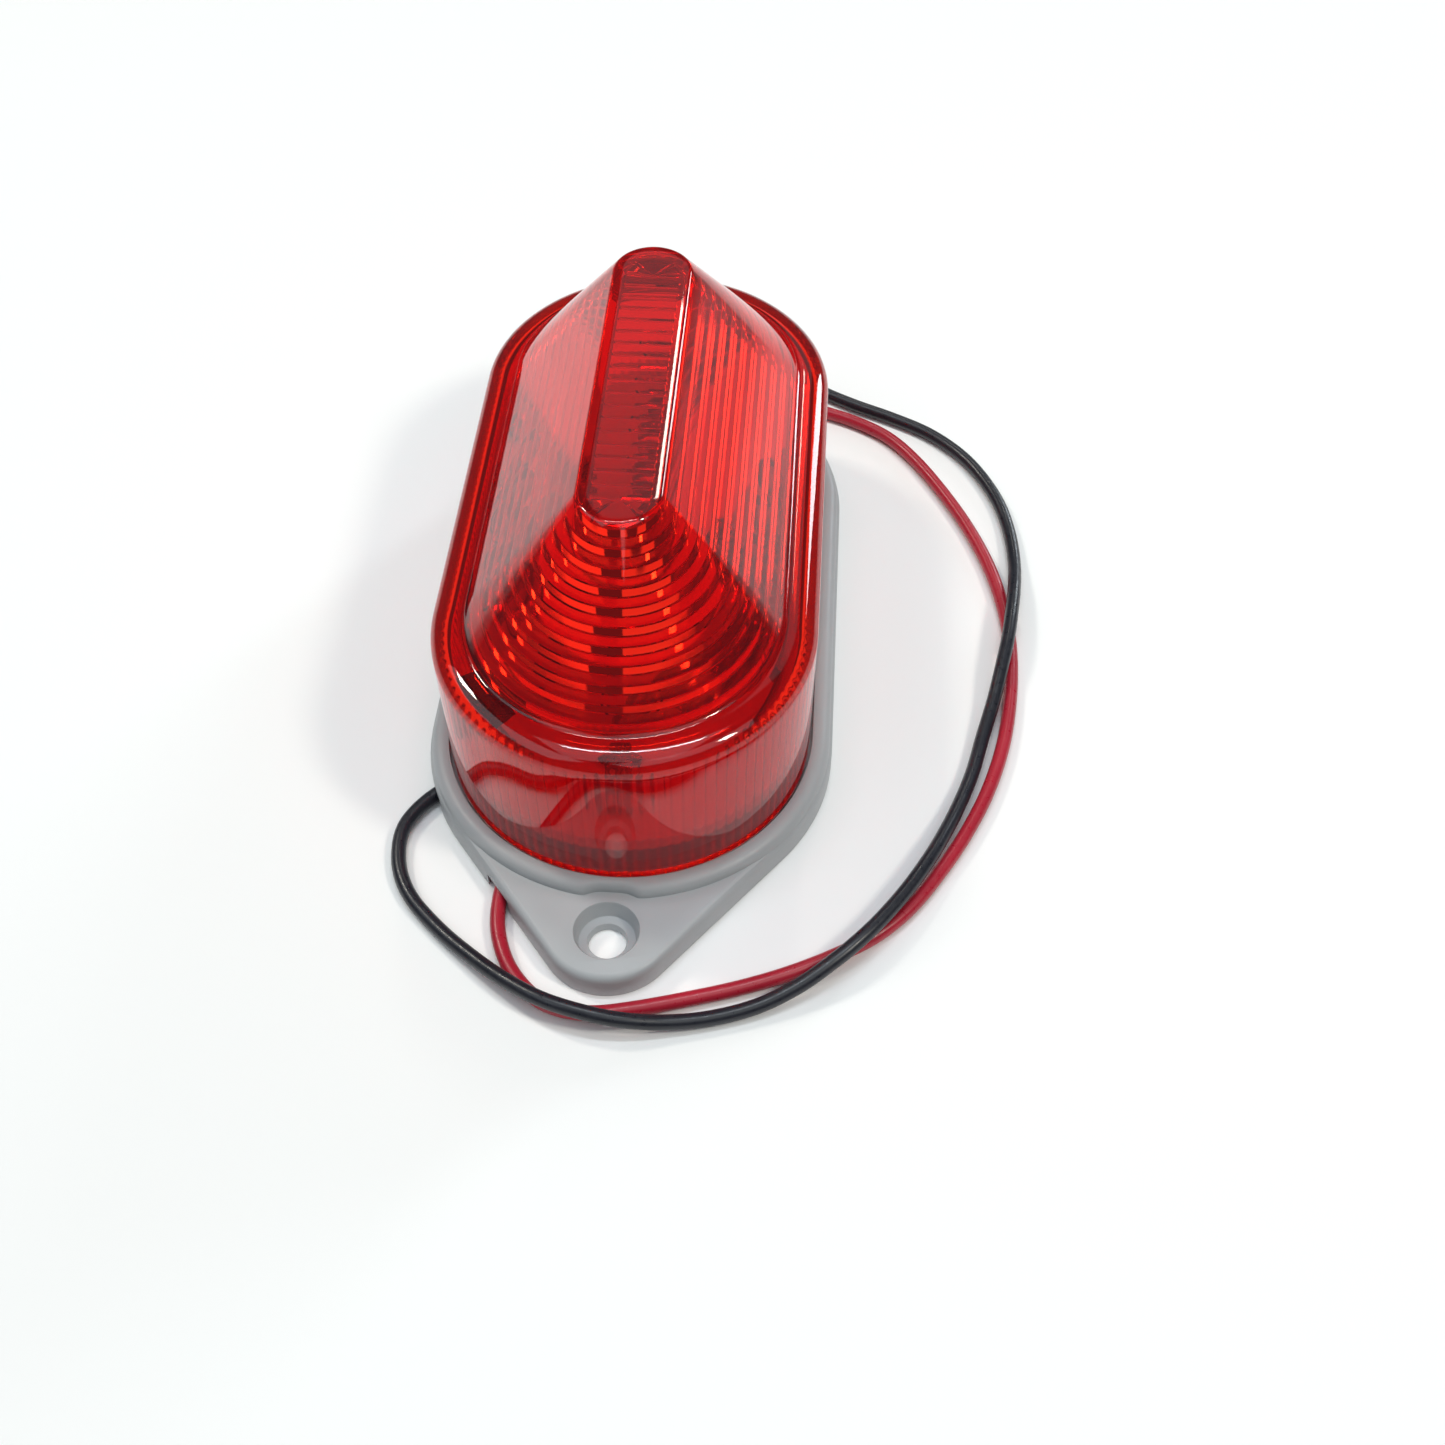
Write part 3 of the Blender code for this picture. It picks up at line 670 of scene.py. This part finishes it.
def make_leads():
    """The two free leads, each a cord of its own from the outlet to its tinned tip."""
    for colour, points in (("black", BLACK_ROUTE), ("red", RED_ROUTE)):
        route = smooth_route(points)
        curve = bpy.data.curves.new(f"lead_{colour}", "CURVE")
        curve.dimensions = "3D"
        curve.bevel_depth = LEAD_RADIUS
        curve.bevel_resolution = 6
        curve.use_fill_caps = True
        spline = curve.splines.new("POLY")
        spline.points.add(len(route) - 1)
        for point, place in zip(spline.points, route):
            point.co = (*place, 1.0)
        spline.use_smooth = True
        lead = bpy.data.objects.new(f"lead_{colour}", curve)
        bpy.context.scene.collection.objects.link(lead)
        insulation = grained(f"insulation_{colour}", LEAD_TINTS[colour], 0.34, grain=1800, contrast=0.12)
        curve.materials.append(insulation)
        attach(lead, "base")
        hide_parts(f"wire_{colour}")


# ---------------------------------------------------------------- what stands on the board

LED_COUNT = 6
LED_RADIUS = 2.5 * MM
LED_FLANGE_RADIUS = 2.9 * MM
LED_SIDE_TOP = 6.0 * MM
LED_FLANGE_TOP = 1.0 * MM
CHIP_LEGS = 4
PIN_PITCH = 1.27 * MM
TIN_COLOUR = (0.72, 0.72, 0.7)


def led_material():
    """Clear red epoxy, with faintly uneven tint and gloss."""
    made, tree, shader, coords = new_material("led_epoxy")
    tones = [(0.3, (0.85, 0.03, 0.02)), (0.7, (0.95, 0.06, 0.04))]
    tree.links.new(ramp(tree, noise(tree, coords, 400), tones), shader.inputs["Base Color"])
    tree.links.new(remap(tree, noise(tree, coords, 1500), 0.03, 0.10), shader.inputs["Roughness"])
    shader.inputs["Transmission Weight"].default_value = 0.85
    shader.inputs["IOR"].default_value = 1.5
    return made


def led_profile(foot):
    """From the dome's top down the side and the flange to the foot."""
    dome_steps, edge = 8, 0.1 * MM
    quarter = [pi / 2 * k / dome_steps for k in range(dome_steps + 1)]
    profile = [(LED_RADIUS * max(0.02, sin(a)), foot + LED_SIDE_TOP + LED_RADIUS * cos(a)) for a in quarter]
    profile += [(LED_RADIUS, foot + LED_FLANGE_TOP), (LED_FLANGE_RADIUS, foot + LED_FLANGE_TOP - edge)]
    profile += [(LED_FLANGE_RADIUS, foot + edge), (LED_FLANGE_RADIUS - edge, foot)]
    return profile


def led_frame(spot, foot):
    """The cup on its post and the anvil beside it."""
    cup = [(0.75, 5.0), (0.95, 5.0), (0.95, 4.3), (0.45, 3.9), (0.45, 1.4), (0.25, 1.4), (0.3, 4.4)]
    x, y = spot
    start = Vector((x + 1.0 * MM, y - 0.4 * MM))
    end = Vector((x + 1.0 * MM, y + 0.4 * MM))
    return [
        turned_mesh("cup", scaled(cup, foot), (x - 0.35 * MM, y), 16),
        bar_mesh("anvil", start, end, 0.6 * MM, foot + 1.4 * MM, foot + 4.8 * MM),
    ]


def make_leds():
    """Domed lamps with a flange, each round a lead frame with its cup, and a ring printed round it."""
    epoxy = led_material()
    board_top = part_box("circuit_board")[1].z
    print_profile = [(3.15, 0.0), (3.15, 0.02), (3.4, 0.02), (3.4, 0.0)]
    rings, frames = [], []
    for i in range(1, LED_COUNT + 1):
        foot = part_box(f"led_{i}")[0].z
        middle = centre_of(f"led_{i}")
        spot = (middle.x, middle.y)
        name = f"led_{i}_dome"
        lamp = add_mesh(name, turned_mesh(name, led_profile(foot), spot, 32), "base", epoxy)
        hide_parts(f"led_{i}")
        frames += led_frame(spot, foot)
        rings.append(turned_mesh("ring", scaled(print_profile, board_top), spot, closed=True))
    steel = grained("lead_frame", TIN_COLOUR, 0.3, metallic=1.0)
    add_mesh("led_lead_frames", merged("led_lead_frames", frames), "base", steel)
    ink = grained("board_print", (0.02, 0.02, 0.02), 0.6)
    add_mesh("board_print", merged("board_print", rings), "base", ink)


def make_sounder():
    """A thick-walled cup, open below, with a sound hole in its top."""
    low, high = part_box("sounder_case")
    middle = centre_of("sounder_case")
    radius = (high.x - low.x) / 2
    inner, ceiling = radius - 0.7 * MM, high.z - 0.8 * MM
    hole, lip = 1.0 * MM, 0.25 * MM
    profile = [
        (hole, high.z - lip), (hole + lip, high.z), (radius - lip, high.z), (radius, high.z - lip),
        (radius, low.z), (inner, low.z), (inner, ceiling), (hole, ceiling),
    ]
    case = turned_mesh("sounder_shell", profile, (middle.x, middle.y), 64, closed=True)
    shell = add_mesh("sounder_shell", case, "base", grained("sounder", (0.5, 0.5, 0.52), 0.4))
    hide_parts("sounder_case")


def make_capacitor():
    """An aluminium can with a rolled groove and a scored vent, over a rubber seal."""
    low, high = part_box("capacitor")
    middle = centre_of("capacitor")
    spot = (middle.x, middle.y)
    radius = (high.x - low.x) / 2
    groove, groove_depth, groove_half, groove_steps = low.z + 1.4 * MM, 0.35 * MM, 0.5 * MM, 8
    can = [(radius - 0.55 * MM, high.z), (radius - 0.2 * MM, high.z - 0.08 * MM), (radius, high.z - 0.4 * MM)]
    for k in range(groove_steps + 1):
        turn = pi * k / groove_steps
        can.append((radius - groove_depth * sin(turn), groove + groove_half * cos(turn)))
    can.append((radius, low.z + 0.7 * MM))
    can.append((radius - 0.3 * MM, low.z + 0.6 * MM))
    aluminium = grained("can", (0.72, 0.72, 0.74), 0.28, metallic=0.9)
    mesh = turned_mesh("capacitor_can", can, spot, 64)
    body = add_mesh("capacitor_can", mesh, "base", aluminium)
    for turn in (0.0, pi / 3, 2 * pi / 3):
        reach = Vector((cos(turn), sin(turn))) * radius * 0.62
        start, end = Vector(spot) - reach, Vector(spot) + reach
        combine(body, "DIFFERENCE", bar_mesh("vent", start, end, 0.22 * MM, high.z - 0.15 * MM, high.z + MM))
    bung = [(radius - 0.4 * MM, low.z + 0.55 * MM), (radius - 0.4 * MM, low.z)]
    rubber = grained("bung", (0.02, 0.02, 0.02), 0.7)
    mesh = turned_mesh("capacitor_seal", bung, spot)
    seal = add_mesh("capacitor_seal", mesh, "base", rubber)
    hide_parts("capacitor")
    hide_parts("capacitor")


def make_chip_legs():
    """Four bent legs down each long side of the driver chip."""
    low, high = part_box("driver_chip")
    board_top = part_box("circuit_board")[1].z
    middle = centre_of("driver_chip")
    pitch = (high.y - low.y) / (CHIP_LEGS + 0.4)
    width, thick = 0.22 * MM, 0.12 * MM
    legs = []
    for side, edge in ((1, high.x), (-1, low.x)):
        for i in range(CHIP_LEGS):
            y = middle.y + (i - (CHIP_LEGS - 1) / 2) * pitch
            path = [
                (0.0, middle.z), (0.45, middle.z), (0.6, middle.z - 0.2 * MM),
                (0.7, board_top + 0.35 * MM), (0.8, board_top + 0.2 * MM), (1.35, board_top + 0.16 * MM),
            ]
            sections = []
            for reach, height in path:
                x = edge + side * (reach * MM - 0.05 * MM)
                square = ((-width, thick), (width, thick), (width, -thick), (-width, -thick))
                sections.append([(x, y + across, height + up / 2) for across, up in square])
            legs.append(mesh_through("leg", sections))
    tinned = grained("chip_tin", TIN_COLOUR, 0.3, metallic=1.0)
    add_mesh("chip_legs", merged("chip_legs", legs), "base", tinned)


def make_solder():
    """A solder dome on the board under each end of the parts that lie on it."""
    board_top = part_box("circuit_board")[1].z
    domes = []
    for name in ("resistor_1", "resistor_2", "resistor_3", "diode"):
        low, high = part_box(name)
        middle = centre_of(name)
        for y in (low.y, high.y):
            dome = [(0.25 * MM, middle.z)]
            dome += scaled([(0.4, 0.9), (0.6, 0.45), (0.85, 0.15), (1.0, 0.01)], board_top)
            domes.append(turned_mesh("dome", dome, (middle.x, y), 20))
    tin = grained("solder", (0.7, 0.7, 0.7), 0.25, metallic=1.0)
    add_mesh("solder_domes", merged("solder_domes", domes), "base", tin)


def banded_material():
    """Bare wire at both ends, and between them tan lacquer with four colour bands."""
    made, tree, shader, coords = new_material("resistor_banded")
    low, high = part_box("resistor_1")
    along = remap(tree, xyz(tree, coords)["Y"], 0.0, 1.0, from_low=low.y, from_high=high.y)
    tan, brown, black = (0.62, 0.47, 0.3), (0.35, 0.1, 0.02), (0.01, 0.01, 0.01)
    red, gold = (0.5, 0.02, 0.01), (0.55, 0.35, 0.05)
    band_width = 0.06
    stops = [(0.0, TIN_COLOUR), (0.17, tan)]
    for start, colour in ((0.25, brown), (0.38, black), (0.5, red), (0.68, gold)):
        stops += [(start, colour), (start + band_width, tan)]
    stops.append((0.83, TIN_COLOUR))
    tree.links.new(ramp(tree, along, stops, constant=True), shader.inputs["Base Color"])
    tree.links.new(remap(tree, noise(tree, coords, 2500), 0.35, 0.5), shader.inputs["Roughness"])
    return made


def make_tracks():
    """Copper tracks that show as low ridges under the board's solder mask."""
    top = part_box("circuit_board")[1].z
    lamps = [centre_of(f"led_{i + 1}") for i in range(LED_COUNT)]
    third = lamps[2]
    chip, diode, resistor = centre_of("driver_chip"), centre_of("diode"), centre_of("resistor_2")
    runs = []
    for i, (here, there) in enumerate(zip(lamps, lamps[1:])):
        side = PIN_PITCH if i % 2 else -PIN_PITCH
        runs.append((here.x + side, here.y, there.x + side, there.y))
    for i in range(3):
        y = chip.y + (i - 1) * PIN_PITCH
        runs.append((chip.x + 3.2 * MM, y, third.x - PIN_PITCH, y))
    runs.append((diode.x, diode.y + 5.0 * MM, chip.x, chip.y - 2.6 * MM))
    elbow = (resistor.x - 3.4 * MM, resistor.y + 5.0 * MM)
    runs.append((*elbow, third.x + PIN_PITCH, third.y + PIN_PITCH))
    for i in range(1, 4):
        spot = centre_of(f"resistor_{i}")
        runs.append((spot.x, spot.y - 4.4 * MM, spot.x, spot.y - 6.5 * MM))
        runs.append((spot.x, spot.y + 4.4 * MM, spot.x, spot.y + 8.0 * MM))
    bars = []
    for x0, y0, x1, y1 in runs:
        start, end = Vector((x0, y0)), Vector((x1, y1))
        bars.append(bar_mesh("track", start, end, 0.7 * MM, top - 0.1 * MM, top + 0.035 * MM))
    finish = grained("board_tracks", (0.66, 0.67, 0.62), 0.3, grain=1200, contrast=0.05)
    add_mesh("board_tracks", merged("board_tracks", bars), "base", finish)


# ---------------------------------------------------------------- the remaining CAD nodes

def paint_nodes():
    """Every CAD node that stays visible gets a procedural finish."""
    finishes = {
        "lens_gasket": grained("gasket", (0.5, 0.5, 0.48), 0.6),
        "circuit_board": grained("board_mask", (0.82, 0.82, 0.79), 0.32, grain=1200, contrast=0.04),
        "sounder_disc": grained("disc", (0.75, 0.55, 0.25), 0.3, metallic=1.0),
        "driver_chip": grained("chip", (0.02, 0.02, 0.022), 0.5),
        "diode": grained("diode_body", (0.02, 0.02, 0.022), 0.4),
        "lead_grommet": grained("grommet", (0.5, 0.5, 0.48), 0.6),
    }
    shared = {
        "board_screw": grained("screw", (0.36, 0.36, 0.38), 0.3, metallic=1.0),
        "resistor": banded_material(),
        "inner_lead_black": grained("inner_black", LEAD_TINTS["black"], 0.34),
        "inner_lead_red": grained("inner_red", LEAD_TINTS["red"], 0.34),
        "tinned_tip": grained("tinned", (0.7, 0.7, 0.68), 0.35, metallic=1.0, grain=4000),
    }
    for name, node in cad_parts.items():
        finish = finishes.get(name)
        for start, common in shared.items():
            if finish is None and name.startswith(start):
                finish = common
        if finish is not None:
            node.data.materials.clear()
            node.data.materials.append(finish)


make_camera()
make_leads()
make_light()
make_floor()
make_base()
make_cover()
make_lug()
make_leds()
make_sounder()
make_capacitor()
make_chip_legs()
make_solder()
make_tracks()
paint_nodes()
